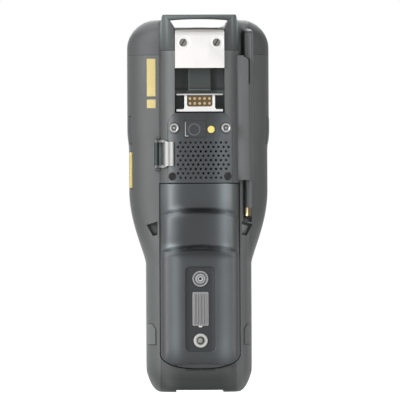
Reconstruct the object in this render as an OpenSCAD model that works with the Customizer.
// Portable barcode data terminal, standing on its foot.
// +Z runs up the body, the back with the battery faces -Y, the display faces +Y.
// Millimetres. The origin is the middle of the foot.

/* [Body] */
// Height of the housing without the strap loop
body_h = 232.2; // [228:0.1:240]
// Half width of the head beside the display
head_hw = 44.1; // [43:0.1:47]
// How much narrower the shoulder above the grip is than the head, on each side
shoulder_in = 1; // [0:0.1:3]
// Half width of the grip
grip_hw = 32.8; // [32:0.1:35]
// Half width of the flat foot
foot_hw = 24; // [20:0.5:28]
// Height over which the foot widens to the grip
foot_z = 13.4; // [10:0.1:14]
// Height where the grip starts to widen
flare_z0 = 80; // [74:1:84]
// Height where the shoulder is at full width
flare_z1 = 126; // [120:1:130]
// Radius of the two top corners seen from behind
corner_r = 18; // [14:0.5:20]
// Y of the seam between the two housing halves
seam_y = 4; // [2:0.5:5]
// Depth of the rear half behind the seam
rear_d = 19; // [18:0.5:22]
// Depth of the front half ahead of the seam
front_d = 17; // [16:0.5:20]
// Roundness of the rear section at the grip: 1 is an ellipse, less is squarer
grip_power = 0.45; // [0.35:0.05:0.7]
// Roundness of the rear section at the head
head_power = 0.77; // [0.6:0.01:0.9]
// Radius of the long front edges
front_r = 7; // [4:0.5:9]
// Rounding of the rear edge of the foot
foot_r = 4; // [2:0.5:6]
// Rounding of the rear edge of the top
top_r = 8; // [4:0.5:10]
// Side and rear wall of the housings
wall = 2.2; // [1.6:0.1:2.6]
// Wall behind the front face
front_wall = 3.2; // [2.6:0.1:3.6]
// Height of the top cap above its seam
cap_h = 21.9; // [21:0.1:24]
// Gap at a seam between two shells
seam = 0.15; // [0.05:0.05:0.3]
// Depth of the dip between the two shoulders of the top
dip_depth = 5; // [4.2:0.1:7]
// How much higher the dip is at the front face
dip_rise = 0.6; // [0.3:0.1:3]
// Height where the head starts to widen past the shoulder
neck_z0 = 150; // [140:1:155]
// Height where the head is at full width
neck_z1 = 163; // [158:1:175]
// Height of the shallow arch between the two feet
foot_arch_h = 1.2; // [0.5:0.1:1.6]
// Half width of the shallow arch between the two feet
foot_arch_hw = 15; // [10:0.5:18]

/* [Spine] */
// Half width of the spine and of the battery
spine_hw = 24.7; // [24:0.1:25.2]
// Y where the flanks of the spine start
spine_y = -12.8; // [-14:0.1:-12]
// How far the spine arches out behind its flanks
spine_d = 12.2; // [11:0.1:14]
// How far the spine runs up past the seam of the cap
spine_over = 2.5; // [1.7:0.1:3.7]
// Half width of the connector recess
recess_hw = 15.6; // [15:0.1:17]
// Height of the connector recess below the handle plate
recess_h = 28; // [27:0.1:29.2]
// Y of the floor of the connector recess
recess_y = -17; // [-18:0.1:-16]
// Half width of the raised land in the recess
land_hw = 6.75; // [5:0.25:7]
// Height of the raised land in the recess
land_h = 13.8; // [9.8:0.5:14.8]
// How far the raised land stands above the recess floor
land_d = 3; // [1:0.5:4]

/* [Strap loop and handle plate] */
// How far the strap loop rises above the housing
loop_rise = 3; // [2.8:0.1:6]
// Half width of the strap loop at its top
loop_hw = 22.8; // [22:0.1:24]
// Thickness of the loop bar in its middle
loop_bar_h = 2.8; // [2.2:0.1:3.2]
// How much lower the underside is at the legs
loop_sag = 0.8; // [0.2:0.1:1]
// Half width of the gap at the bottom of the loop
gap_hw0 = 15.6; // [15:0.1:16]
// Half width of the gap at the top of the loop
gap_hw1 = 18.4; // [17:0.1:20]
// Depth of the loop bar front to back
loop_bar_d = 8; // [5:0.5:10]
// Half width of the handle plate
plate_hw = 15.4; // [14:0.1:15.5]
// Thickness of the handle plate
plate_t = 1.2; // [0.8:0.1:1.4]
// Height of the handle plate
plate_h = 25.4; // [23:0.1:26]
// Outer bend radius at the top of the plate
plate_bend = 3.4; // [2:0.1:4]
// Half spacing of the two plate screws
plate_screw_x = 10.4; // [8:0.1:12]
// How far the two plate screws lie below the top of the plate
plate_screw_drop = 9.5; // [7.2:0.1:13]
// Head radius of the plate screws
plate_screw_r = 2.5; // [2:0.1:3]

/* [Connector] */
// Half width of the metal connector frame
frame_hw = 14.5; // [12:0.1:15]
// Gap between the connector frame and the bottom of its recess
frame_gap = 1; // [0.4:0.1:2]
// Height of the connector frame
frame_h = 11.1; // [10.5:0.1:12]
// Height of the wide lower bar of the frame
frame_bar = 2.3; // [1:0.1:3]
// Height of the thin upper bar of the frame
frame_lip = 0.9; // [0.5:0.1:1.5]
// Width of the two posts of the frame
frame_post = 1.5; // [1:0.1:2]
// How far the frame stands above the recess floor
frame_d = 4.6; // [3:0.1:6]
// Width of the contact block
block_w = 15.7; // [12:0.1:17]
// Height of the contact block
block_h = 6.7; // [5:0.1:7.2]
// Middle of the contact block above the bottom of its frame
block_rise = 6.6; // [6.2:0.1:6.8]
// Number of contact columns
contact_cols = 5; // [3:1:5]
// Spacing of the contacts
contact_pitch = 3.04; // [2.5:0.01:3.1]
// Radius of one contact
contact_r = 0.85; // [0.5:0.05:1]

/* [Grille panel] */
// Half width of the grille panel
panel_hw = 20; // [19:0.1:21]
// Height of the grille panel between the battery and the recess
panel_h = 43.4; // [43:0.1:45]
// Thickness of the grille panel
panel_t = 2; // [1.2:0.1:2.4]
// Width cut off the top corners of the panel
panel_cut_x = 4.4; // [2:0.1:6]
// Height cut off the top corners of the panel
panel_cut_z = 5.6; // [3:0.1:6.5]
// Spacing of the sound holes in a row
hole_pitch = 3.15; // [3:0.05:4]
// Radius of one sound hole
hole_r = 0.75; // [0.5:0.05:0.9]
// Bottom row of sound holes above the bottom of the panel
hole_rise = 3.2; // [2.6:0.1:4.6]
// Number of rows of sound holes
hole_rows = 9; // [5:1:9]
// Half width of the field of sound holes
hole_field_hw = 17.9; // [12:0.1:18]
// Half spacing of the upper panel screws
upper_screw_x = 16.2; // [15.5:0.1:16.6]
// How far the upper panel screws lie below the top of the panel
upper_screw_drop = 9.2; // [7.8:0.1:10.8]
// Head radius of the upper panel screws
upper_screw_r = 3.2; // [2.5:0.1:3.4]
// Half spacing of the lower panel screws
lower_screw_x = 17.4; // [16.5:0.1:17.6]
// How far the lower panel screws lie above the bottom of the panel
lower_screw_rise = 4; // [3.6:0.1:4.6]
// Head radius of the lower panel screws
lower_screw_r = 2.3; // [1.8:0.1:2.5]
// X of the middle of the speaker
speaker_x = 3.4; // [0:0.1:3.8]
// Middle of the speaker above the bottom of the panel
speaker_rise = 15; // [14.6:0.1:15.6]
// Radius of the speaker
speaker_r = 11; // [8:0.5:11]
// Left edge of the camera window
cam_x0 = -9.5; // [-10:0.1:-9]
// Right edge of the camera window
cam_x1 = 3.6; // [2.8:0.1:4.4]
// Height of the camera window
cam_h = 10.2; // [9.5:0.1:10.5]
// How far the camera window lies below the top of the panel
cam_drop = 4.8; // [3.8:0.1:5]
// X of the camera lens
lens_x = -3.6; // [-5:0.1:-1]
// How far the lens and the flash lie below the top of the window
lens_drop = 5.4; // [5:0.1:6]
// Radius of the camera barrel
lens_r = 3.7; // [3:0.1:3.7]
// X of the flash
flash_x = 6.9; // [6.2:0.1:8.4]
// Radius of the flash
flash_r = 2.2; // [1.8:0.1:2.6]

/* [Battery] */
// Lowest point of the battery's curved bottom edge
batt_z0 = 14.6; // [13:0.1:16]
// How much the bottom edge rises to the battery's corners
batt_rise = 9.4; // [6:0.1:11]
// How far the lower part of the battery arches out
batt_low_d = 7.2; // [6:0.1:8]
// Extra depth of the middle band
batt_band_d = 3; // [1:0.1:3.5]
// Extra depth of the top part
batt_top_d = 2.2; // [1:0.1:2.4]
// Height of the lower finger step
step_low_z = 86.5; // [84:0.5:89]
// How far the upper finger step lies below the top edge
step_drop = 20.2; // [16:0.1:21]
// Rise of both finger steps in the middle
step_lift = 3.2; // [1:0.1:4]
// Height over which a finger step runs out to the next band
step_run = 2.6; // [2:0.1:5]
// Depth of the groove under each finger step
step_dip = 1.2; // [0.4:0.1:1.4]
// Half width of the finger notch below the battery
notch_hw = 8; // [5:0.5:12]
// Height of the finger notch below the battery
notch_h = 1.2; // [0.6:0.1:1.6]
// Clearance round the battery
batt_gap = 0.4; // [0.2:0.05:0.4]
// Y of the joint between the battery's cover and its tray
batt_joint_y = -9; // [-10:0.1:-8.5]
// Y of the floor of the battery bay
bay_y = -3.6; // [-4.5:0.1:-3]
// Thickness of the floor of the battery bay
bay_floor = 3; // [2:0.1:3.2]
// Half width of the sunk strip down the battery
strip_hw = 9.1; // [8:0.1:10]
// Bottom of the sunk strip
strip_z0 = 25.3; // [24.5:0.1:26]
// Height of the sunk strip
strip_h = 52.5; // [51.5:0.1:53.5]
// Depth of the sunk strip
strip_d = 0.9; // [0.5:0.1:1.2]
// How far the gauge button lies below the top of the strip
gauge_drop = 7.2; // [6.4:0.1:7.4]
// Radius of the gauge button
gauge_r = 5.1; // [4:0.1:5.3]
// Width of the gauge window
window_w = 10; // [8:0.5:12]
// Bottom of the gauge window
window_z0 = 41.3; // [41:0.1:43]
// Top of the gauge window
window_z1 = 62.4; // [60:0.1:63.5]
// Number of ribs on the gauge window
window_ribs = 5; // [3:1:6]
// Height of the strap insert
insert_z = 32.1; // [31:0.1:33]
// Outer radius of the strap insert
insert_r = 4.5; // [4:0.1:5]
// Radius of the threaded hole in the strap insert
insert_hole_r = 2.1; // [1.6:0.1:2.5]
// Depth of the threaded hole in the strap insert
insert_hole_d = 7; // [5:0.5:7.5]

/* [Stylus and silo] */
// Distance of the stylus from the flank of the spine
stylus_out = 5.7; // [5.3:0.1:6.3]
// Y of the stylus
stylus_y = -11.5; // [-12:0.1:-11]
// Radius of the stylus shaft
stylus_r = 2.4; // [1.5:0.1:2.5]
// Radius of the stylus cap
stylus_cap_r = 3.6; // [3:0.1:3.9]
// How far the shoulder of the stylus cap lies below the seam of the top cap
stylus_cap_drop = 5.3; // [4.3:0.1:7.3]
// How far the top of the stylus lies below the top of the housing
stylus_drop = 5.7; // [4.2:0.1:10]
// Length of the metal ferrule
ferrule_h = 5.2; // [4:0.1:6.5]
// Bottom of the metal ferrule
ferrule_z0 = 109.6; // [109:0.1:111]
// Point of the stylus
tip_z = 107.5; // [107:0.1:108.5]
// Bottom of the silo over the stylus
silo_z0 = 132; // [131:0.1:134]
// Gap between the top of the silo and the seam of the top cap
silo_drop = 0.6; // [0.3:0.1:3]
// How far the silo reaches over the flank of the spine
silo_in = 3.4; // [1.7:0.1:3.7]
// Y of the back of the silo
silo_y = -19; // [-19.4:0.1:-17]
// How far the silo reaches past the axis of the stylus
silo_r = 3.1; // [2.9:0.1:3.6]
// Half width of the open groove below the silo
groove_r = 3; // [2.6:0.1:3.2]
// Radial clearance of the stylus in its silo
stylus_gap = 0.08; // [0.04:0.01:0.1]

/* [Latch] */
// Distance of the latch pin from the flank of the spine
latch_out = 1.9; // [1.7:0.1:2.5]
// Y of the latch pin
latch_y = -14.5; // [-15:0.1:-14.3]
// Radius of the latch pin
latch_pin_r = 0.8; // [0.6:0.05:1]
// Radius of the sleeve on the pin between the arms
sleeve_r = 1.3; // [1.1:0.05:1.35]
// Bottom of the latch above the bottom of the panel
latch_rise = 9.4; // [7.6:0.1:11.6]
// Height of the latch
latch_h = 17.4; // [15:0.1:18]
// Thickness of the latch plate
latch_t = 0.8; // [0.5:0.1:1]
// Gap between the latch plate and the spine
latch_gap = 0.6; // [0.4:0.05:0.8]
// Radial clearance of the pin in the latch
latch_bore_gap = 0.05; // [0.02:0.01:0.1]

/* [Side controls and trim] */
// Bottom of the left scan button
left_z0 = 127.2; // [126.5:0.1:129]
// Top of the left scan button
left_z1 = 149.7; // [146:0.1:150]
// Bottom of the left rocker
rocker_z0 = 155; // [154:0.1:157]
// Top of the left rocker
rocker_z1 = 172; // [168:0.1:174]
// Bottom of the right button
right_z0 = 155; // [154:0.1:157]
// Top of the right button
right_z1 = 171; // [166:0.1:174]
// How far the side buttons stand out
button_out = 0.3; // [0.2:0.1:1]
// Rear edge of the side buttons
button_y0 = -1.6; // [-3:0.1:-1]
// Front edge of the side buttons
button_y1 = 3.2; // [2.4:0.1:3.4]
// Clearance round the side buttons
button_gap = 0.35; // [0.25:0.05:0.5]
// Distance of the marker strip from the flank of the spine
marker_in = 2.3; // [1.8:0.1:3.3]
// Width of the marker strip
marker_w = 5.5; // [4:0.1:6]
// Height of the marker strip
marker_h = 23.5; // [20:0.1:24.4]
// How far the marker strip lies below the seam of the top cap
marker_drop = 2.4; // [1.3:0.1:6]
// Gap between the marker strip and the small marker below it
dot_gap = 1.9; // [1:0.1:3]
// How far the side grips reach in from the sides of the grip
grip_pad_in = 5.1; // [4.3:0.1:5.4]
// Bottom of the side grips on the lower body
grip_pad_z0 = 29.8; // [27:0.1:32]
// Top of the side grips on the lower body
grip_pad_z1 = 42.3; // [40:0.1:45]

/* [Display] */
// Half width of the touch glass
glass_hw = 33; // [31:0.5:34]
// Bottom of the touch glass
glass_z0 = 133; // [132.5:0.5:135]
// How far the touch glass lies below the top of the housing
glass_drop = 15.2; // [14.2:0.5:18.2]
// Thickness of the touch glass
glass_t = 1.6; // [1:0.1:1.8]
// How far the glass lies below the front face
glass_sink = 0.4; // [0.1:0.1:0.6]
// Width of the ledge that carries the glass
glass_ledge = 4.5; // [3:0.5:5]
// Thickness of the display module
display_t = 3.4; // [2.5:0.1:3.5]
// Thickness of the main board
board_t = 1.6; // [1:0.1:1.8]
// Half width of the main board
board_hw = 27.5; // [24:0.5:28]

/* [Keys] */
// Travel of a key
key_travel = 0.8; // [0.5:0.1:0.8]
// Clearance round a key in the front face
key_gap = 0.35; // [0.25:0.05:0.5]
// How far a key stands out of the front face
key_out = 2.4; // [1.5:0.1:3]
// How far the large scan key stands out
scan_key_out = 3.6; // [2:0.1:4.4]
// Width of a number key
digit_w = 13.2; // [11:0.1:13.3]
// Height of a number key
digit_h = 9.4; // [7:0.1:10]
// Spacing of the key columns
key_col = 17.4; // [17:0.1:18]
// Spacing of the key rows
key_row = 12.4; // [12:0.1:13]
// Height of the lowest row of number keys
digits_z = 41.5; // [41:0.5:43]
// Height of the middle of the navigation ring
nav_z = 99.6; // [99:0.1:100.5]
// Outer radius of the navigation ring
nav_r = 12.5; // [10:0.1:12.8]
// Radius of the enter key inside the ring
enter_r = 5.2; // [4:0.1:6]

/* [Hidden] */
$fn = 72;
// Small overlap that lets a cut run past a face
e = 0.05;
// Reach of a cut that runs out of the body
far = 60;

DIGITS = [
    ["key_1", 1, 3], ["key_2", 0, 3], ["key_3", -1, 3],
    ["key_4", 1, 2], ["key_5", 0, 2], ["key_6", -1, 2],
    ["key_7", 1, 1], ["key_8", 0, 1], ["key_9", -1, 1],
    ["key_point", 1, 0], ["key_0", 0, 0], ["key_function", -1, 0]
];

shoulder_hw = head_hw - shoulder_in;
// Heights counted down from the top of the housing
cap_z = body_h - cap_h;
dip_z = body_h - dip_depth;
spine_top = cap_z + spine_over;
loop_top = body_h + loop_rise;
loop_under = loop_top - loop_bar_h;
plate_z0 = dip_z - plate_h;
plate_screw_z = dip_z - plate_screw_drop;
recess_z0 = plate_z0 - recess_h;
land_z0 = plate_z0 - land_h;
frame_z0 = recess_z0 + frame_gap;
frame_z1 = frame_z0 + frame_h;
block_z = frame_z0 + block_rise;
glass_z1 = body_h - glass_drop;
stylus_cap_z = cap_z - stylus_cap_drop;
stylus_top = body_h - stylus_drop;
silo_z1 = cap_z - silo_drop;
marker_z1 = cap_z - marker_drop;
marker_z0 = marker_z1 - marker_h;
dot_z0 = marker_z0 - dot_gap - marker_w;
// Grille panel, with what it carries
panel_z0 = recess_z0 - panel_h;
hole_z0 = panel_z0 + hole_rise;
lower_screw_z = panel_z0 + lower_screw_rise;
upper_screw_z = recess_z0 - upper_screw_drop;
speaker_z = panel_z0 + speaker_rise;
cam_z1 = recess_z0 - cam_drop;
cam_z0 = cam_z1 - cam_h;
lens_z = cam_z1 - lens_drop;
latch_z0 = panel_z0 + latch_rise;
latch_z1 = latch_z0 + latch_h;
// The battery ends under the grille panel
batt_z1 = panel_z0 - batt_gap;
step_high_z = batt_z1 - step_drop;
strip_z1 = strip_z0 + strip_h;
gauge_z = strip_z1 - gauge_drop;
// Places beside the spine
stylus_x = spine_hw + stylus_out;
silo_x0 = spine_hw - silo_in;
latch_x = -spine_hw - latch_out;
pocket_x = latch_x + 3.4;
marker_x0 = spine_hw + marker_in;
marker_x1 = marker_x0 + marker_w;
grip_pad_x0 = grip_hw - grip_pad_in;
// Strap eyes: a slanted hole each side of the battery
eye_x0 = spine_hw + 1.6;
eye_x1 = eye_x0 + 6.7;
eye_z0 = 97.4;
eye_foot_w = 2.9;
eye_side_h = 6.9;
eye_h = 9;
eye_y = -6.6;
ferrule_z1 = ferrule_z0 + ferrule_h;
// Cut corners at the top of the loop
loop_corner_out = 0.4;
loop_corner_in = 0.6;
loop_corner_h = 1.2;
// Y of the front face, of the rear of the spine and of the seat of the handle plate
front_y = seam_y + front_d;
spine_back = spine_y - spine_d;
plate_seat_y = spine_back + 0.8;
// Inner faces behind the display and the keys
front_in = front_y - front_wall;
// Stack of the electronics behind the front face
flange_t = 1.1;
flange_w = 0.8;
mat_t = 1.4;
mat_y1 = front_in - 0.2 - flange_t - key_travel - 0.1;
board_y1 = mat_y1 - mat_t;
board_y0 = board_y1 - board_t;
mat_hw = 26.6;
mat_top_hw = 28.8;
mat_z0 = 24.5;
mat_z1 = 124.2;
mat_step_z = 90;
mat_rim = 1.6;
board_z0 = 15;
board_z1 = body_h - 19.2;
// Dip at the front: half widths of its floor and its mouth, and the height of the mouth's slope
dip_hw0 = 14;
dip_hw1 = 26;
dip_slope = 5.2;
// Thicker wall of the cap, which carries the strap loop
cap_wall = wall + 1.5;
cap_in_top = dip_z - 2.4;
// Housing screws
screw_r = 1.2;
head_clear = 0.2;
shaft_clear = 0.05;
plate_head_h = 0.8;
upper_head_h = 2.3;
lower_head_h = 1.3;
socket_d = 1.4;
panel_screw_len = 6;
// Half width, turn and depth of the screwdriver slots
slot_hw = 0.35;
slot_turn = -60;
plate_slot_d = 0.4;
lower_slot_d = 0.5;
screw_hole_r = 1.6;
screw_head_r = 2.6;
screw_well_d = 1.4;
housing_head_h = 1.3;
screw_low = [15, 20.5];
screw_high = [21, min(glass_z0 - 5.4, batt_z1 - 2.5)];
boss_r = 2.8;
// Floor of the pockets behind the grille
pocket_y = spine_y - 2.2;
cam_gap = 0.1;
cam_rim = 1;
flash_back = 5;
flash_out = 0.4;
// Sound holes: clearance round what they pass, shift of the pattern, and the latch's reach over them
hole_clear = 1.2;
hole_shift = 0.4;
latch_reach = -14;
// How far trim stands out of the skin and reaches into it
trim_out = 0.3;
trim_in = 0.6;
// Bend of the handle plate: centre and inner radius
bend_in = plate_bend - plate_t;
bend_y = plate_seat_y + bend_in;
bend_z = dip_z - plate_bend;
groove_z0 = tip_z - 1.5;
stylus_cap_dome = 4;
tip_r = 0.6;
// Room round the cap of the stylus
cap_room = 0.3;
// Thin channel round the upper corner of the silo
channel_w = 0.9;
channel_d = 1.2;
channel_r = 3.5;
channel_h = 17.7;
channel_x = stylus_x + 0.7;
// Scanner window in the dip of the cap, and the engine below it
scan_hw = 12.8;
scan_y0 = -8.5;
scan_y1 = 1.8;
scan_t = 1;
engine_y = seam_y - rear_d + cap_wall + 0.7;
block_d = 3.6;
// Dock connector: its body, its flange and its contacts
dock_hw = 8;
dock_y0 = -6.9;
dock_y1 = 0.9;
dock_z1 = 7;
dock_gap = 0.1;
dock_flange_w = 1.6;
dock_contacts_n = 8;
dock_contact_w = 1;
dock_contact_step = 1.8;
dock_contact_in = 1.3;
// Seats of the panel screws and of the camera window
upper_seat_y = spine_back + 2;
lower_seat_y = spine_back + 2.4;
window_y0 = spine_back - 0.3;
window_y1 = spine_back + 0.9;
glass_y0 = front_y - glass_sink - glass_t;
glass_gap = 0.15;
gauge_stem_r = 1.4;
speaker_gap = 0.95;
rocker_x = head_hw - 3.6;
key_y0 = front_in - 0.2 - flange_t;
soft_z = 117.9;
soft_x = 20.5;
soft_w = 11;
soft_r = 2;
scan_key_w = 24;
power_w = 13;
bar_key_h = 7;
bar_key_r = 3.4;
digit_r = 2.2;
enter_gap = 0.5;
enter_out = 0.4;
power_z = 30.8;

// ---- Forms -------------------------------------------------------------

function clamp(t) = min(1, max(0, t));
function smooth(t) = let (u = clamp(t)) u * u * (3 - 2 * u);
function ramp(z, z0, z1) = smooth((z - z0) / (z1 - z0));
function spow(v, p) = sign(v) * pow(abs(v), p);

// Half width of the body at the height z
function side_hw(z) =
    z < foot_z
    ? foot_hw + (grip_hw - foot_hw) * pow(1 - pow(1 - max(0, z) / foot_z, 1.2), 0.48)
    : z > body_h - corner_r
    ? head_hw - corner_r + sqrt(max(0, pow(corner_r, 2) - pow(z - body_h + corner_r, 2)))
    : grip_hw + shoulder_in * ramp(z, neck_z0, neck_z1)
      + (shoulder_hw - grip_hw) * smooth(pow(clamp((z - flare_z0) / (flare_z1 - flare_z0)), 0.7));

// How far a rounded end draws the face in at the height z
function end_in(z, r0, r1) =
    z < r0 ? r0 - sqrt(max(0, r0 * r0 - pow(r0 - max(0, z), 2)))
    : z > body_h - r1 ? r1 - sqrt(max(0, r1 * r1 - pow(z - body_h + r1, 2)))
    : 0;

z_marks = concat(
    [for (i = [0:6]) foot_z * pow(i / 6, 2)],
    [for (i = [0:8]) flare_z0 + (flare_z1 - flare_z0) * i / 8],
    [neck_z0, neck_z1],
    [for (a = [0:10:80]) body_h - corner_r + corner_r * sin(a)]);
function stations(z0, z1) =
    concat([z0], [for (m = z_marks) if (m > z0 + 0.3 && m < z1 - 0.3) m], [z1]);

// The rear half is squarer round the grip and rounder round the head
function side_power(z) = grip_power + (head_power - grip_power) * ramp(z, flare_z0, flare_z1);

// Outline of the rear half at the height z, grown by g, run past the seam by over
function rear_ring(z, g, over) =
    let (hw = side_hw(z) + g, d = rear_d - end_in(z, foot_r, top_r) + g, n = 18)
    [for (i = [0:n])
        let (t = 180 + 180 * i / n)
        [hw * spow(cos(t), side_power(z)), seam_y + d * sin(t) + (i == 0 || i == n ? over : 0), z]];

// Outline of the front half at the height z: sides grown by g, front face by gf
function front_ring(z, g, gf, over) =
    let (hw = side_hw(z) + g, r = max(1, front_r + gf),
         y1 = front_y - end_in(z, foot_r - 1, top_r - 2) + gf)
    concat([[hw, seam_y - over, z]],
        [for (a = [0:15:90]) [hw - r + r * cos(a), y1 - r + r * sin(a), z]],
        [for (a = [90:15:180]) [-hw + r + r * cos(a), y1 - r + r * sin(a), z]],
        [[-hw, seam_y - over, z]]);

// Closed solid through a stack of rings that run anticlockwise seen from above
module loft(rings) {
    n = len(rings[0]);
    m = len(rings);
    polyhedron(
        points = [for (r = rings) each r],
        faces = concat(
            [[for (i = [0:n - 1]) i]],
            [for (k = [0:m - 2], i = [0:n - 1])
                let (j = (i + 1) % n, a = k * n, b = a + n)
                each [[a + i, b + i, b + j], [a + i, b + j, a + j]]],
            [[for (i = [n - 1:-1:0]) (m - 1) * n + i]]));
}

module rear_form(z0, z1, g = 0, over = 0) {
    loft([for (z = stations(z0, z1)) rear_ring(z, g, over)]);
}

module front_form(z0, z1, g = 0, gf = 0, over = 0) {
    loft([for (z = stations(z0, z1)) front_ring(z, g, gf, over)]);
}

// Box between two corners
module block(a, b) {
    translate(a)
        cube(b - a);
}

// Rectangle with round corners, centred
module rrect(w, h, r) {
    square([w - 2 * r, h], center = true);
    square([w, h - 2 * r], center = true);
    for (x = [-1, 1], y = [-1, 1])
        translate([x * (w / 2 - r), y * (h / 2 - r)])
            circle(r);
}

// Stands a flat outline drawn in X and Z between two values of Y
module from_back(y0, y1) {
    translate([0, y1, 0])
        rotate([90, 0, 0])
            linear_extrude(y1 - y0)
                children();
}

// Cylinder along Y between two values of Y
module y_rod(x, z, r, y0, y1, sides = $fn) {
    translate([x, y1, z])
        rotate([90, 0, 0])
            cylinder(h = y1 - y0, r = r, $fn = sides);
}

module both_sides() {
    children();
    mirror([1, 0, 0])
        children();
}

// Section of the spine, grown by g, closed at the depth y_in
function arch_points(g, y_in) =
    concat([[-spine_hw - g, y_in]],
        [for (t = [180:15:360])
            [(spine_hw + g) * spow(cos(t), 0.5), spine_y + (spine_d + g) * sin(t)]],
        [[spine_hw + g, y_in]]);
function arch(u) = sqrt(max(0, 1 - pow(min(1, abs(u)), 4)));
function spine_surface(x) = spine_y - spine_d * arch(x / spine_hw);

module spine(z0, z1, g = 0, y_in = spine_y + 2) {
    translate([0, 0, z0])
        linear_extrude(z1 - z0)
            polygon(arch_points(g, y_in));
}

// Outline of the battery seen from behind, grown by g
function batt_low(x, g) =
    batt_z0 - g + batt_rise * (1 - sqrt(max(0, 1 - pow(abs(x) / (spine_hw + g), 2.5))));
module batt_outline(g, top) {
    polygon(concat(
        [[-spine_hw - g, top]],
        [for (a = [-90:10:90]) let (x = (spine_hw + g) * spow(sin(a), 0.8)) [x, batt_low(x, g)]],
        [[spine_hw + g, top]]));
}

// Width of the groove under a finger step
dip_w = 1.3;
// How far the battery arches out at the height z
function batt_depth(z) =
    batt_low_d
    + batt_band_d * ramp(z, step_low_z, step_low_z + step_run)
    + batt_top_d * ramp(z, step_high_z, step_high_z + step_run)
    - step_dip * (exp(-pow((z - step_low_z) / dip_w, 2)) + exp(-pow((z - step_high_z) / dip_w, 2)))
    + 0.5 * sin(180 * clamp((z - step_low_z - 4) / (step_high_z - step_low_z - 4)))
    - 3.2 * (1 - sqrt(1 - pow(clamp((batt_z0 + 10 - z) / 10), 2)));
function batt_ring(z) =
    concat([[-spine_hw, batt_joint_y, z]],
        [for (t = [180:12:360])
            let (u = spow(cos(t), 0.5))
            [spine_hw * u, spine_y + batt_depth(z - step_lift * (1 - u * u)) * sin(t), z]],
        [[spine_hw, batt_joint_y, z]]);
step_marks = concat(
    [for (i = [0:10]) step_low_z - 2.6 + 0.9 * i],
    [(step_low_z + step_high_z) / 2 + 4.5],
    [for (i = [0:10]) step_high_z - 2.6 + 0.9 * i]);
batt_marks = concat(
    [for (i = [0:4]) batt_z0 + 10 * pow(i / 4, 2)],
    [for (i = [0:len(step_marks) - 1])
        if (i == 0 || step_marks[i] > max([for (k = [0:i - 1]) step_marks[k]]) + 0.1)
            if (step_marks[i] < batt_z1) step_marks[i]]);
// Y of the lower part of the battery's back in its middle, and of the sunk strip
low_back_y = spine_y - batt_low_d;
strip_y = low_back_y + strip_d;
insert_y0 = strip_y - 0.8;
insert_y1 = insert_y0 + insert_hole_d + 1.4;
// Pocket of the cells in the battery
cell_hw = 19;
cell_z0 = 41;
cell_z1 = batt_z1 - 5.1;
cell_y0 = strip_y + 2.5;
cell_y1 = bay_y - 1.9;
cell_gap = 0.3;
// Thickness of the battery's wall under the strip, and depth of the seats in it
strip_wall = 1.6;
window_seat_d = 0.8;
gauge_seat_d = 1;
insert_seat_d = 1.2;
seat_gap = 0.1;
// Contacts between the battery and the body
contact_w = 0.7;
contact_step = 4;
contact_z0 = batt_z1 - 12.1;
contact_z1 = batt_z1 - 6.1;

// Part of the body's skin inside a box: stands out and reaches in
module skin_patch(a, b, out, in) {
    z0 = a[2];
    z1 = b[2];
    intersection() {
        block(a, b);
        difference() {
            rear_form(z0 - 4, z1 + 4, out);
            rear_form(z0 - 5, z1 + 5, -in, 1);
        }
    }
}

// ---- Housing -----------------------------------------------------------

module stylus_block(z0, z1) {
    block([stylus_x - 6, -far, z0], [stylus_x + 6, stylus_y + stylus_cap_r + 1.9, z1]);
}

// Solid left round the battery bay, the stylus and the strap eyes
module rear_blocks() {
    block([-spine_hw - batt_gap - wall, -far, batt_z0 - batt_gap - wall],
          [spine_hw + batt_gap + wall, bay_y + bay_floor, batt_z1 + batt_gap + wall]);
    stylus_block(96, cap_z + 2);
    block([latch_x - 3.6, -far, latch_z0 - 1], [pocket_x, latch_y + 7.7, latch_z1 + 1]);
    both_sides()
        block([eye_x0 - 2.3, -far, eye_z0 - 2.4], [eye_x1 + 3, eye_y + 2.6, eye_z0 + 10.6]);
}

// Block at the place of the battery contact i, half as wide as hw
module contact_slot(i, hw, y0, y1, z0, z1) {
    x = (i - 1.5) * contact_step;
    block([x - hw, y0, z0], [x + hw, y1, z1]);
}

module bay_cut() {
    from_back(-far, bay_y)
        batt_outline(batt_gap, batt_z1 + batt_gap);
    // Finger notch under the battery's bottom edge
    from_back(-far, low_back_y + 4)
        translate([0, batt_z0 + 1])
            rrect(2 * notch_hw, 2 * notch_h + 2, notch_h);
}

module strap_eye_cut() {
    from_back(-far, eye_y)
        polygon([
            [eye_x0, eye_z0 + 0.6], [eye_x0 + eye_foot_w, eye_z0],
            [eye_x1, eye_z0 + eye_side_h], [eye_x0, eye_z0 + eye_h]
        ]);
}

module stylus_cut() {
    // Bore in the silo, open groove below it, and the seat of the cap above it
    cap_r = stylus_cap_r + cap_room;
    translate([stylus_x, stylus_y, 0]) {
        translate([0, 0, silo_z0 - 1])
            cylinder(h = stylus_cap_z - silo_z0 + 2, r = stylus_r + stylus_gap);
        translate([0, 0, stylus_cap_z - e])
            cylinder(h = far, r = cap_r);
        translate([0, 0, groove_z0])
            cylinder(h = silo_z0 - groove_z0, r = groove_r);
    }
    block([stylus_x - groove_r, -far, groove_z0], [stylus_x + groove_r, stylus_y, silo_z0]);
    block([stylus_x - cap_r, -far, silo_z1], [stylus_x + cap_r, stylus_y, body_h + 9]);
}

module silo_channel() {
    x = channel_x - channel_r;
    z = silo_z1 - channel_r - channel_w / 2;
    from_back(-far, silo_y + channel_d)
        polygon(concat(
            [for (a = [90:-15:0]) [x, z] + (channel_r + channel_w / 2) * [cos(a), sin(a)]],
            [for (k = [1, -1]) [channel_x + k * channel_w / 2, silo_z1 - channel_h]],
            [for (a = [0:15:90]) [x, z] + (channel_r - channel_w / 2) * [cos(a), sin(a)]]));
}

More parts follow.
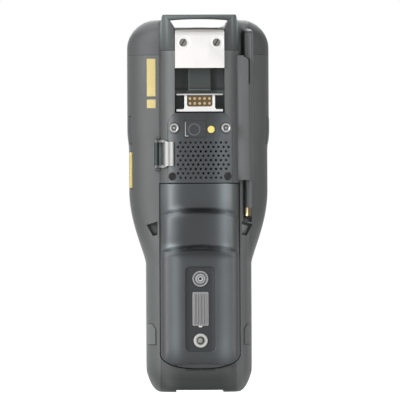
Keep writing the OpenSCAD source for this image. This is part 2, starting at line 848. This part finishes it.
module silo() {
    x1 = stylus_x + silo_r;
    intersection() {
        translate([(silo_x0 + x1) / 2, silo_y + 5.5, silo_z0])
            linear_extrude(silo_z1 - silo_z0)
                rrect(x1 - silo_x0, 11, 3);
        from_back(-far, far)
            translate([(silo_x0 + x1) / 2 - 5, (silo_z0 + silo_z1) / 2 - 5])
                rrect(x1 - silo_x0 + 10, silo_z1 - silo_z0 + 10, 5);
    }
}

module latch_ears() {
    for (z = [latch_z0 - 1.5, latch_z1 + 0.3])
        block([latch_x - 1.4, latch_y - 1.4, z], [latch_x + 2, spine_y + 2, z + 1.2]);
}

module panel_outline(g) {
    polygon([
        [-panel_hw - g, panel_z0 - g], [panel_hw + g, panel_z0 - g],
        [panel_hw + g, recess_z0 - panel_cut_z],
        [panel_hw + g - panel_cut_x, recess_z0 + 0.2],
        [-panel_hw - g + panel_cut_x, recess_z0 + 0.2],
        [-panel_hw - g, recess_z0 - panel_cut_z]
    ]);
}

// Shell of the panel from the spine's surface inwards, grown by g, cut out by out
module panel_form(g, out) {
    intersection() {
        from_back(-far, 0)
            panel_outline(g);
        translate([0, 0, panel_z0 - 1])
            linear_extrude(recess_z0 - panel_z0 + 2)
                polygon(concat(
                    [for (i = [0:16])
                        let (x = -panel_hw - 1 + (panel_hw + 1) * i / 8)
                        [x, spine_surface(x) - out]],
                    [for (i = [16:-1:0])
                        let (x = -panel_hw - 1 + (panel_hw + 1) * i / 8)
                        [x, spine_surface(x) + panel_t + g]]));
    }
}

module pockets() {
    // Speaker and camera pockets behind the grille
    y_rod(speaker_x, speaker_z, speaker_r + 0.3, -far, pocket_y);
    block([cam_x0 - cam_gap, -far, cam_z0 - cam_gap], [cam_x1 + cam_gap, pocket_y, cam_z1 + cam_gap]);
    y_rod(flash_x, lens_z, flash_r + cam_gap, -far, spine_back + flash_back);
}

module side_button_cut(z0, z1) {
    block([stylus_x + 4, button_y0 - button_gap, z0 - button_gap],
          [far, button_y1 + button_gap, z1 + button_gap]);
}

module side_button(z0, z1) {
    skin_patch([stylus_x + 4, button_y0, z0], [far, button_y1, z1], button_out, wall + 1.2);
}

module marker_patch(g, out, in) {
    for (z = [[marker_z0, marker_z1], [dot_z0, dot_z0 + marker_x1 - marker_x0]])
        skin_patch([-marker_x1 - g, -far, z[0] - g], [-marker_x0 + g, 0, z[1] + g], out, in);
}

module side_grip_patch(g, out, in) {
    both_sides()
        intersection() {
            skin_patch([grip_pad_x0 - g, -far, grip_pad_z0 - g], [far, 0, grip_pad_z1 + g], out, in);
            from_back(-far, far)
                polygon([
                    [grip_pad_x0 - g, grip_pad_z0 - g], [far, grip_pad_z0 - g],
                    [far, grip_pad_z1 + g], [grip_pad_x0 + 2 - g, grip_pad_z1 + g],
                    [grip_pad_x0 - g, grip_pad_z1 - 3 + g]
                ]);
        }
}

module rear_housing() {
    color([0.33, 0.34, 0.35])
        difference() {
            union() {
                rear_form(0, cap_z - seam);
                spine(batt_z1 + batt_gap, cap_z - seam);
                spine(cap_z - 1, spine_top, 0, spine_y);
                silo();
                latch_ears();
            }
            difference() {
                rear_form(wall, cap_z + 1, -wall, 1);
                rear_blocks();
            }
            bay_cut();
            both_sides()
                strap_eye_cut();
            stylus_cut();
            silo_channel();
            // Grille panel, its pockets and its screws
            panel_form(0.1, 3);
            pockets();
            both_sides() {
                y_rod(upper_screw_x, upper_screw_z, screw_r + shaft_clear, -far, spine_back + 9);
                y_rod(lower_screw_x, lower_screw_z, screw_r + shaft_clear, -far, spine_back + 9);
                y_rod(upper_screw_x, upper_screw_z, upper_screw_r + head_clear, -far, spine_back + 2);
                y_rod(lower_screw_x, lower_screw_z, lower_screw_r + head_clear, -far, spine_back + 2.4);
            }
            // Connector recess with its land, and the seat of the handle plate
            difference() {
                block([-recess_hw, -far, recess_z0], [recess_hw, recess_y, plate_z0]);
                block([-land_hw, recess_y - land_d, land_z0], [land_hw, far, plate_z0 + 1]);
            }
            block([-recess_hw, -far, plate_z0 - e], [recess_hw, plate_seat_y, spine_top + 1]);
            // Housing screws through the floor of the battery bay
            both_sides()
                for (p = [screw_low, screw_high]) {
                    y_rod(p[0], p[1], screw_hole_r, -far, far);
                    y_rod(p[0], p[1], screw_head_r + head_clear, -far, bay_y + screw_well_d);
                }
            // Slots of the battery contacts
            for (i = [0:3])
                contact_slot(i, contact_w / 2 + 0.05, -far, far, contact_z0 - 0.2, contact_z1 + 0.2);
            // Side buttons
            side_button_cut(right_z0, right_z1);
            mirror([1, 0, 0]) {
                side_button_cut(rocker_z0, rocker_z1);
                side_button_cut(left_z0, left_z1);
            }
            // Dock opening and the arch between the feet
            block([-dock_hw - dock_gap, dock_y0 - dock_gap, -1],
                  [dock_hw + dock_gap, dock_y1 + dock_gap, wall + 1]);
            block([-foot_arch_hw, -far, -1], [foot_arch_hw, far, foot_arch_h]);
            // Dark slot behind the window of the latch
            block([latch_x - 1.4, -far, latch_z0 + 1.4], [pocket_x, latch_y + 5.5, latch_z1 - 1.4]);
            // Hole of the latch pin, and the seats of the trim
            translate([latch_x, latch_y, latch_z0 - 2])
                cylinder(h = latch_z1 - latch_z0 + 4, r = latch_pin_r + 0.02);
            marker_patch(0.1, 3, trim_in + e);
            side_grip_patch(0.15, 3, trim_in + e);
        }
}

// Section of the dip in the top: half widths w0 and w1, floor at the height z
function dip_ring(y, z, w0, w1) =
    [for (p = [[-w0, 0], [w0, 0], [w1, dip_slope], [w1, far], [-w1, far], [-w1, dip_slope]])
        [p[0], z + p[1], -y]];

// The dip is level under the loop, then rises and widens towards the front
module dip_cut() {
    rotate([90, 0, 0])
        loft([
            dip_ring(front_y + 1, dip_z + dip_rise, dip_hw0, dip_hw1),
            dip_ring(scan_y1 + 1, dip_z, gap_hw0, gap_hw1),
            dip_ring(-far, dip_z, gap_hw0, gap_hw1)
        ]);
}

module scan_hole(g, z) {
    block([-scan_hw - g, scan_y0 - g, z], [scan_hw + g, scan_y1 + g, body_h]);
}

module top_cap() {
    color([0.35, 0.36, 0.37])
        difference() {
            rear_form(cap_z, body_h);
            difference() {
                rear_form(cap_z - 1, cap_in_top, -cap_wall, cap_wall);
                stylus_block(cap_z - 2, body_h);
            }
            dip_cut();
            // Seat of the spine and the strap loop
            block([-spine_hw - 0.1, -far, cap_z - 1], [spine_hw + 0.1, spine_y, body_h + 1]);
            stylus_cut();
            scan_hole(-1, cap_in_top - 1);
            scan_hole(0.1, dip_z - scan_t - 0.2);
        }
}

module front_housing() {
    color([0.2, 0.21, 0.22])
        difference() {
            union() {
                difference() {
                    front_form(0, body_h, 0, 0, -seam);
                    front_form(wall, cap_in_top, -wall, -front_wall, 1);
                }
                // Bosses of the housing screws
                both_sides()
                    for (p = [screw_low, screw_high])
                        y_rod(p[0], p[1], boss_r, board_y1, front_in + 1);
            }
            both_sides()
                for (p = [screw_low, screw_high])
                    y_rod(p[0], p[1], screw_r + shaft_clear, 0, front_in - 0.5);
            dip_cut();
            block([-foot_arch_hw, -far, -1], [foot_arch_hw, far, foot_arch_h]);
            // Seat of the touch glass and the opening behind it
            block([-glass_hw - glass_gap, glass_y0 - 0.05, glass_z0 - glass_gap],
                  [glass_hw + glass_gap, far, glass_z1 + glass_gap]);
            block([-glass_hw + glass_ledge, 0, glass_z0 + glass_ledge],
                  [glass_hw - glass_ledge, far, glass_z1 - glass_ledge]);
            // Key openings
            from_back(front_in - 1, far) {
                for (k = KEYS)
                    translate([k[1], k[2]])
                        rrect(k[3] + 2 * key_gap, k[4] + 2 * key_gap, k[5]);
                translate([0, nav_z])
                    circle(nav_r + key_gap);
            }
        }
}

// ---- Strap loop and handle plate ---------------------------------------

module loop_outline() {
    difference() {
        polygon([
            [-spine_hw, spine_top + seam], [spine_hw, spine_top + seam],
            [spine_hw, dip_z - 1], [loop_hw + loop_corner_out, loop_top - loop_corner_h],
            [loop_hw - loop_corner_in, loop_top], [loop_corner_in - loop_hw, loop_top],
            [-loop_hw - loop_corner_out, loop_top - loop_corner_h], [-spine_hw, dip_z - 1]
        ]);
        polygon(concat(
            [[-gap_hw0, spine_top - 1], [-gap_hw0, dip_z]],
            [for (i = [-6:6])
                [gap_hw1 * i / 6, loop_under - loop_sag * pow(i / 6, 2)]],
            [[gap_hw0, dip_z], [gap_hw0, spine_top - 1]]));
    }
}

// The loop leans forward towards its top
module loop_side() {
    rotate([90, 0, 90])
        translate([0, 0, -far])
            linear_extrude(2 * far)
                polygon([
                    [spine_back - 1, spine_top - 1], [spine_back - 1, dip_z - 5],
                    [spine_back + 0.8, dip_z - 1], [spine_y - loop_bar_d, loop_top + e],
                    [spine_y, loop_top + e], [spine_y, spine_top - 1]
                ]);
}

module strap_bar() {
    color([0.27, 0.3, 0.3])
        difference() {
            union() {
                intersection() {
                    spine(spine_top, loop_top + 1, 0, spine_y);
                    from_back(-far, far)
                        loop_outline();
                    loop_side();
                }
                // Body behind the handle plate
                block([-gap_hw0 - e, bend_y, spine_top + seam], [gap_hw0 + e, spine_y, bend_z + bend_in]);
                block([-gap_hw0 - e, plate_seat_y, spine_top + seam], [gap_hw0 + e, spine_y, bend_z]);
                translate([-gap_hw0 - e, bend_y, bend_z])
                    rotate([0, 90, 0])
                        cylinder(h = 2 * gap_hw0 + 2 * e, r = bend_in);
            }
            both_sides()
                y_rod(plate_screw_x, plate_screw_z, screw_r + shaft_clear, -far, plate_seat_y + 6);
        }
}

module handle_plate() {
    color([0.93, 0.92, 0.9])
        difference() {
            union() {
                block([-plate_hw, plate_seat_y - plate_t, plate_z0], [plate_hw, plate_seat_y, bend_z]);
                block([-plate_hw, bend_y, bend_z + bend_in], [plate_hw, spine_y - 1, bend_z + plate_bend]);
                intersection() {
                    translate([-plate_hw, bend_y, bend_z])
                        rotate([0, 90, 0])
                            difference() {
                                cylinder(h = 2 * plate_hw, r = plate_bend);
                                translate([0, 0, -1])
                                    cylinder(h = 2 * plate_hw + 2, r = bend_in);
                            }
                    block([-plate_hw - 1, bend_y - plate_bend - 1, bend_z],
                          [plate_hw + 1, bend_y, bend_z + plate_bend + 1]);
                }
            }
            both_sides()
                y_rod(plate_screw_x, plate_screw_z, screw_r + 0.1, -far, 0);
        }
}

// Screw along Y: its head stands out behind the seat at y, its shaft runs in by len
module screw(x, z, y, head_r, head_h, len) {
    y_rod(x, z, head_r, y - head_h, y);
    y_rod(x, z, screw_r, y - e, y + len);
}

module slot(x, z, y, r, depth) {
    translate([x, 0, z])
        rotate([0, slot_turn, 0])
            block([-r, y - 1, -slot_hw], [r, y + depth, slot_hw]);
}

module plate_screws() {
    color([0.55, 0.55, 0.54])
        for (s = [-1, 1])
            difference() {
                screw(s * plate_screw_x, plate_screw_z, plate_seat_y - plate_t, plate_screw_r,
                      plate_head_h, panel_screw_len);
                slot(s * plate_screw_x, plate_screw_z, plate_seat_y - plate_t - plate_head_h,
                     plate_screw_r + 1, plate_slot_d);
            }
}

// ---- Connector ---------------------------------------------------------

module connector_frame() {
    color([0.9, 0.9, 0.89]) {
        block([-frame_hw, recess_y - frame_d, frame_z0], [frame_hw, recess_y, frame_z0 + frame_bar]);
        block([-frame_hw, recess_y - frame_d, frame_z1 - frame_lip],
              [frame_hw, recess_y - frame_d + 1, frame_z1]);
        both_sides()
            block([block_w / 2 + 0.15, recess_y - frame_d, frame_z0],
                  [block_w / 2 + 0.15 + frame_post, recess_y, frame_z1]);
    }
}

module connector_block() {
    color([0.42, 0.3, 0.17])
        from_back(recess_y - block_d, recess_y)
            translate([0, block_z])
                rrect(block_w, block_h, 0.8);
}

module connector_contacts() {
    color([0.85, 0.68, 0.35])
        for (i = [0:contact_cols - 1], k = [-1, 1])
            y_rod((i - (contact_cols - 1) / 2) * contact_pitch, block_z + k * contact_pitch / 2,
                  contact_r, recess_y - block_d - 0.4, recess_y - block_d);
}

// ---- Grille panel with camera, flash and speaker -----------------------

// Where the sound holes lie: rows shifted by half a pitch, clear of screws and camera
function hole_free(x, z) =
    abs(x) < hole_field_hw
    && norm([abs(x) - lower_screw_x, z - lower_screw_z]) > lower_screw_r + hole_clear
    && norm([abs(x) - upper_screw_x, z - upper_screw_z]) > upper_screw_r + hole_clear
    && z < cam_z0 - hole_clear
    && !(x < latch_reach && z > latch_z0 - 1);

module sound_holes() {
    row_h = hole_pitch * sqrt(3) / 2;
    for (r = [0:hole_rows - 1], i = [-7:7]) {
        x = (i + (r % 2) / 2) * hole_pitch + hole_shift;
        z = hole_z0 + r * row_h;
        if (hole_free(x, z))
            y_rod(x, z, hole_r, -far, 0);
    }
}

module grille_panel() {
    color([0.28, 0.3, 0.31])
        difference() {
            panel_form(0, 0);
            sound_holes();
            // Seat and opening of the camera window, flash and panel screws
            block([cam_x0 - cam_gap, -far, cam_z0 - cam_gap],
                  [cam_x1 + cam_gap, window_y1 + e, cam_z1 + cam_gap]);
            block([cam_x0 + cam_rim, -far, cam_z0 + cam_rim], [cam_x1 - cam_rim, 0, cam_z1 - cam_rim]);
            y_rod(flash_x, lens_z, flash_r + cam_gap, -far, 0);
            both_sides() {
                y_rod(upper_screw_x, upper_screw_z, screw_r + 0.2, -far, 0);
                y_rod(lower_screw_x, lower_screw_z, screw_r + 0.2, -far, 0);
                y_rod(upper_screw_x, upper_screw_z, upper_screw_r + head_clear, -far, upper_seat_y);
                y_rod(lower_screw_x, lower_screw_z, lower_screw_r + head_clear, -far, lower_seat_y);
            }
        }
}

module panel_screws_upper() {
    color([0.8, 0.8, 0.79])
        for (s = [-1, 1])
            difference() {
                screw(s * upper_screw_x, upper_screw_z, upper_seat_y, upper_screw_r,
                      upper_head_h, panel_screw_len);
                y_rod(s * upper_screw_x, upper_screw_z, upper_screw_r / 2, -far,
                      upper_seat_y - upper_head_h + socket_d, 6);
            }
}

module panel_screws_lower() {
    color([0.2, 0.2, 0.2])
        for (s = [-1, 1])
            difference() {
                screw(s * lower_screw_x, lower_screw_z, lower_seat_y, lower_screw_r,
                      lower_head_h, panel_screw_len);
                slot(s * lower_screw_x, lower_screw_z, lower_seat_y - lower_head_h,
                     lower_screw_r + 1, lower_slot_d);
            }
}

module camera_window() {
    color([0.08, 0.09, 0.1])
        block([cam_x0, window_y0, cam_z0], [cam_x1, window_y1, cam_z1]);
}

module camera_barrel() {
    color([0.15, 0.15, 0.16])
        difference() {
            y_rod(lens_x, lens_z, lens_r, window_y1, pocket_y);
            y_rod(lens_x, lens_z, lens_r - 1, -far, window_y1 + 1.2);
        }
}

module flash_led() {
    color([0.9, 0.85, 0.45])
        y_rod(flash_x, lens_z, flash_r, spine_back - flash_out, spine_back + flash_back);
}

module speaker() {
    color([0.12, 0.12, 0.12])
        difference() {
            y_rod(speaker_x, speaker_z, speaker_r, spine_back + panel_t + speaker_gap, pocket_y);
            translate([speaker_x, spine_back + panel_t + speaker_gap, speaker_z])
                rotate([-90, 0, 0])
                    translate([0, 0, -e])
                        cylinder(h = 3, r1 = speaker_r - 1.2, r2 = 3);
        }
}

// ---- Scanner, display and board ----------------------------------------

module scan_window() {
    color([0.25, 0.03, 0.05])
        block([-scan_hw, scan_y0, dip_z - scan_t - 0.2], [scan_hw, scan_y1, dip_z - 0.2]);
}

module scan_engine() {
    color([0.3, 0.3, 0.32])
        difference() {
            block([-scan_hw + 1.5, engine_y, cap_z - 1.5],
                  [scan_hw - 1.5, scan_y1 - 1.2, cap_in_top - 0.15]);
            block([-scan_hw + 3, scan_y0 + 2, cap_in_top - 4], [scan_hw - 3, scan_y1 - 3, body_h]);
        }
}

module display_module() {
    color([0.1, 0.12, 0.14])
        block([-glass_hw + glass_ledge - 1.2, board_y1, glass_z0 + glass_ledge - 1.2],
              [glass_hw - glass_ledge + 1.2, board_y1 + display_t, glass_z1 - glass_ledge + 1.2]);
}

module touch_glass() {
    color([0.05, 0.05, 0.06])
        from_back(glass_y0, glass_y0 + glass_t)
            translate([0, (glass_z0 + glass_z1) / 2])
                rrect(2 * glass_hw, glass_z1 - glass_z0, 1.5);
}

module mat_outline(g) {
    translate([-mat_hw + g, mat_z0 + g])
        square([2 * mat_hw - 2 * g, mat_step_z - mat_z0 + 1]);
    translate([-mat_top_hw + g, mat_step_z + g])
        square([2 * mat_top_hw - 2 * g, mat_z1 - mat_step_z - 2 * g]);
}

module keypad_mat() {
    color([0.15, 0.15, 0.16])
        difference() {
            from_back(board_y1, front_in)
                mat_outline(0);
            from_back(mat_y1, far)
                mat_outline(mat_rim);
            both_sides()
                y_rod(screw_high[0], screw_high[1], boss_r + 0.3, 0, far);
        }
}

module main_board() {
    color([0.1, 0.35, 0.2])
        difference() {
            block([-board_hw, board_y0, board_z0], [board_hw, board_y1, board_z1]);
            both_sides()
                for (p = [screw_low, screw_high])
                    y_rod(p[0], p[1], screw_hole_r, 0, far);
        }
}

module housing_screws() {
    color([0.6, 0.6, 0.6])
        both_sides()
            for (p = [screw_low, screw_high])
                screw(p[0], p[1], bay_y + screw_well_d, screw_head_r, housing_head_h,
                      front_in - bay_y - 2.2);
}

// ---- Dock and battery contacts -----------------------------------------

module dock_connector() {
    color([0.12, 0.12, 0.12]) {
        block([-dock_hw, dock_y0, foot_arch_h + dock_gap], [dock_hw, dock_y1, dock_z1]);
        block([-dock_hw - dock_flange_w, dock_y0 - dock_flange_w, wall],
              [dock_hw + dock_flange_w, dock_y1 + dock_flange_w - dock_gap, wall + dock_flange_w]);
    }
}

module dock_contacts() {
    color([0.85, 0.68, 0.35])
        for (i = [0:dock_contacts_n - 1]) {
            x = (i - (dock_contacts_n - 1) / 2) * dock_contact_step;
            block([x - dock_contact_w / 2, dock_y0 + dock_contact_in, foot_arch_h - 0.2],
                  [x + dock_contact_w / 2, dock_y1 - dock_contact_in, foot_arch_h + dock_gap]);
        }
}

module battery_contacts() {
    color([0.85, 0.68, 0.35])
        for (i = [0:3])
            contact_slot(i, contact_w / 2, bay_y - 1.3, bay_y + bay_floor + 1, contact_z0, contact_z1);
}

// ---- Trim and side controls --------------------------------------------

module side_grips() {
    color([0.42, 0.42, 0.42])
        side_grip_patch(0, trim_out, trim_in);
}

module marker_strip() {
    color([0.93, 0.83, 0.45])
        marker_patch(0, trim_out, trim_in);
}

module scan_button_left() {
    color([0.95, 0.9, 0.5])
        mirror([1, 0, 0])
            side_button(left_z0, left_z1);
}

module rocker_left() {
    color([0.25, 0.25, 0.26])
        mirror([1, 0, 0]) {
            side_button(rocker_z0, rocker_z1);
            // Round bar that the rocker tilts on
            y_rod(rocker_x, (rocker_z0 + rocker_z1) / 2, 1, button_y0 + 1, button_y1 - 1);
        }
}

module side_button_right() {
    color([0.25, 0.25, 0.26])
        side_button(right_z0, right_z1);
}

// ---- Battery -----------------------------------------------------------

module battery_cover() {
    color([0.32, 0.34, 0.35])
        difference() {
            intersection() {
                loft([for (z = concat([batt_z0 - 1], batt_marks, [batt_z1 + 1])) batt_ring(z)]);
                from_back(-far, far)
                    batt_outline(0, batt_z1);
            }
            block([-cell_hw - cell_gap, strip_y + strip_wall, cell_z0 - cell_gap],
                  [cell_hw + cell_gap, far, cell_z1 + cell_gap]);
            // Sunk strip with the seats of the button, window and insert
            from_back(-far, strip_y)
                translate([0, (strip_z0 + strip_z1) / 2])
                    rrect(2 * strip_hw, strip_z1 - strip_z0, 3);
            y_rod(0, gauge_z, gauge_r + 0.15, -far, strip_y + gauge_seat_d);
            y_rod(0, gauge_z, gauge_stem_r + seat_gap, -far, 0);
            from_back(-far, strip_y + window_seat_d)
                window_outline(seat_gap);
            y_rod(0, insert_z, insert_r + 0.05, -far, strip_y + insert_seat_d);
            y_rod(0, insert_z, insert_r - 1.15, -far, insert_y1 + seat_gap);
        }
}

module battery_tray() {
    color([0.18, 0.18, 0.18])
        difference() {
            from_back(batt_joint_y, bay_y - 0.25)
                batt_outline(-0.4, batt_z1 - 0.4);
            block([-cell_hw - cell_gap, -far, cell_z0 - cell_gap],
                  [cell_hw + cell_gap, cell_y1, cell_z1 + cell_gap]);
            for (i = [0:3])
                contact_slot(i, contact_w / 2 + 0.45, -far, far, contact_z0 - 0.5, contact_z1 + 0.5);
        }
}

module battery_cells() {
    color([0.25, 0.4, 0.6]) {
        half = (cell_z1 - cell_z0) / 2;
        for (k = [0, 1])
            block([-cell_hw, cell_y0, cell_z0 + k * (half + 0.25)],
                  [cell_hw, cell_y1 - 0.05, cell_z0 + k * (half + 0.25) + half - 0.25]);
    }
}

module window_outline(g) {
    translate([0, (window_z0 + window_z1) / 2])
        rrect(window_w + 2 * g, window_z1 - window_z0 + 2 * g, 1 + g);
    translate([0, window_z0 + 0.6])
        circle(1.6 + g);
}

module gauge_window() {
    color([0.62, 0.62, 0.61]) {
        from_back(strip_y - 0.3, strip_y + 0.75)
            window_outline(0);
        rib = (window_w - 2) / (2 * window_ribs - 1);
        for (i = [0:window_ribs - 1])
            block([-window_w / 2 + 1 + 2 * i * rib, strip_y - 0.6, window_z0 + 1.4],
                  [-window_w / 2 + 1 + (2 * i + 1) * rib, strip_y - 0.3 + e, window_z1 - 1.4]);
    }
}

module strap_insert() {
    color([0.78, 0.78, 0.77])
        difference() {
            union() {
                y_rod(0, insert_z, insert_r, insert_y0, strip_y + 1.15);
                y_rod(0, insert_z, insert_r - 1.2, insert_y0, insert_y1);
            }
            y_rod(0, insert_z, insert_hole_r, -far, insert_y0 + insert_hole_d);
        }
}

module gauge_button() {
    color([0.72, 0.73, 0.73])
        difference() {
            union() {
                y_rod(0, gauge_z, gauge_r, strip_y - 0.7, strip_y + 0.45);
                y_rod(0, gauge_z, gauge_stem_r, strip_y, strip_y + 1.4);
            }
            y_rod(0, gauge_z, 0.9, -far, strip_y);
            // Round groove in its face
            difference() {
                y_rod(0, gauge_z, gauge_r - 1.2, -far, strip_y - 0.3);
                y_rod(0, gauge_z, gauge_r - 2, -far, strip_y);
            }
        }
}

// ---- Latch -------------------------------------------------------------

// Inner edge of the latch plate, and the height of the arms that carry it
arm_x = latch_x + 4.3;
arm_h = 1.6;
sleeve_gap = 0.15;
// Slope between the arms and the plate
arm_w = 1.9;
// Bead along the free edge of the plate
bead_r = 0.7;
bead_a = 63;
// Section of the latch plate, wrapped round the left flank of the spine
module latch_section() {
    polygon(concat(
        [for (i = [0:8]) latch_point(i, latch_gap + latch_t)],
        [for (i = [8:-1:0]) latch_point(i, latch_gap)]));
}
// Point i of 8 along the plate, g off the spine
function latch_point(i, g) =
    let (a = 7 + (bead_a - 7) * i / 8)
    [-(spine_hw + g) * spow(cos(a), 0.5), spine_y - (spine_d + g) * sin(a)];

module side_latch() {
    color([0.82, 0.82, 0.81])
        difference() {
            union() {
                translate([latch_x, latch_y, latch_z0])
                    cylinder(h = latch_z1 - latch_z0, r = latch_pin_r + 0.75);
                intersection() {
                    translate([0, 0, latch_z0])
                        linear_extrude(latch_z1 - latch_z0)
                            latch_section();
                    from_back(-far, 0)
                        polygon([
                            [-far, latch_z0], [arm_x, latch_z0], [arm_x + arm_w, latch_z0 + 1.2],
                            [0, latch_z0 + 1.2], [0, latch_z1 - 1.2], [arm_x + arm_w, latch_z1 - 1.2],
                            [arm_x, latch_z1], [-far, latch_z1]
                        ]);
                }
                bead = latch_point(8, latch_gap + latch_t - bead_r + 0.2);
                translate([bead[0], bead[1], latch_z0 + 1.2])
                    cylinder(h = latch_h - 2.4, r = bead_r);
            }
            // Window between the arms
            block([-far, -far, latch_z0 + arm_h], [arm_x, 0, latch_z1 - arm_h]);
            translate([latch_x, latch_y, latch_z0 - 1])
                cylinder(h = latch_z1 - latch_z0 + 2, r = latch_pin_r + latch_bore_gap);
        }
}

module latch_pin() {
    color([0.7, 0.7, 0.7])
        translate([latch_x, latch_y, 0]) {
            translate([0, 0, latch_z0 - 1.5])
                cylinder(h = latch_z1 - latch_z0 + 3, r = latch_pin_r);
            // Sleeve between the arms
            translate([0, 0, latch_z0 + arm_h + sleeve_gap])
                cylinder(h = latch_h - 2 * (arm_h + sleeve_gap), r = sleeve_r);
        }
}

// ---- Stylus ------------------------------------------------------------

module stylus_shaft() {
    color([0.3, 0.32, 0.33])
        translate([stylus_x, stylus_y, ferrule_z1])
            cylinder(h = stylus_cap_z - ferrule_z1, r = stylus_r);
}

module stylus_tip() {
    color([0.8, 0.68, 0.4])
        translate([stylus_x, stylus_y, 0]) {
            translate([0, 0, ferrule_z0])
                cylinder(h = ferrule_z1 - ferrule_z0, r = stylus_r);
            translate([0, 0, tip_z])
                cylinder(h = ferrule_z0 - tip_z, r1 = tip_r, r2 = stylus_r - 0.2);
        }
}

module stylus_cap() {
    color([0.35, 0.37, 0.38])
        translate([stylus_x, stylus_y, 0])
            rotate_extrude()
                polygon(concat(
                    [[0, stylus_cap_z], [stylus_cap_r, stylus_cap_z]],
                    [for (a = [0:15:90])
                        [stylus_cap_r * cos(a), stylus_top - stylus_cap_dome * (1 - sin(a))]]));
}

// ---- Keys --------------------------------------------------------------

// Name, X, Z, width, height and corner radius of each straight key
KEYS = concat(
    [["key_scan", 0, soft_z, scan_key_w, bar_key_h, bar_key_r],
     ["key_soft_left", soft_x, soft_z, soft_w, bar_key_h, soft_r],
     ["key_soft_right", -soft_x, soft_z, soft_w, bar_key_h, soft_r],
     ["key_power", 0, power_z, power_w, bar_key_h, bar_key_r]],
    [for (d = DIGITS) [d[0], d[1] * key_col, digits_z + d[2] * key_row, digit_w, digit_h, digit_r]]);

module key(name) {
    for (k = KEYS)
        if (k[0] == name)
            translate([k[1], 0, k[2]]) {
                from_back(key_y0, key_y0 + flange_t)
                    rrect(k[3] + 2 * flange_w, k[4] + 2 * flange_w, k[5]);
                from_back(key_y0, front_y + (name == "key_scan" ? scan_key_out : key_out))
                    rrect(k[3], k[4], k[5]);
            }
}

module key_nav() {
    color([0.22, 0.23, 0.24])
        translate([0, 0, nav_z]) {
            from_back(key_y0, key_y0 + flange_t)
                difference() {
                    circle(nav_r + flange_w);
                    circle(enter_r + enter_gap);
                }
            from_back(key_y0, front_y + key_out)
                difference() {
                    circle(nav_r);
                    circle(enter_r + enter_gap);
                }
        }
}

module key_enter() {
    color([0.45, 0.46, 0.47])
        y_rod(0, nav_z, enter_r, key_y0, front_y + key_out + enter_out);
}

// ---- Assembly ----------------------------------------------------------

rear_housing();
front_housing();
top_cap();
strap_bar();
handle_plate();
plate_screws();
connector_frame();
connector_block();
connector_contacts();
grille_panel();
panel_screws_upper();
panel_screws_lower();
camera_window();
camera_barrel();
flash_led();
speaker();
scan_window();
scan_engine();
display_module();
touch_glass();
keypad_mat();
main_board();
dock_connector();
dock_contacts();
side_grips();
marker_strip();
housing_screws();
battery_contacts();
battery_cover();
battery_tray();
battery_cells();
gauge_window();
strap_insert();
gauge_button();
side_latch();
latch_pin();
stylus_shaft();
stylus_tip();
stylus_cap();
scan_button_left();
rocker_left();
side_button_right();
key_nav();
key_enter();
color([0.95, 0.75, 0.2]) key("key_scan");  // key_scan
color([0.25, 0.26, 0.27]) key("key_soft_left");  // key_soft_left
color([0.25, 0.26, 0.27]) key("key_soft_right");  // key_soft_right
color([0.6, 0.15, 0.12]) key("key_power");  // key_power
for (d = DIGITS)
    color([0.3, 0.31, 0.32]) key(d[0]);
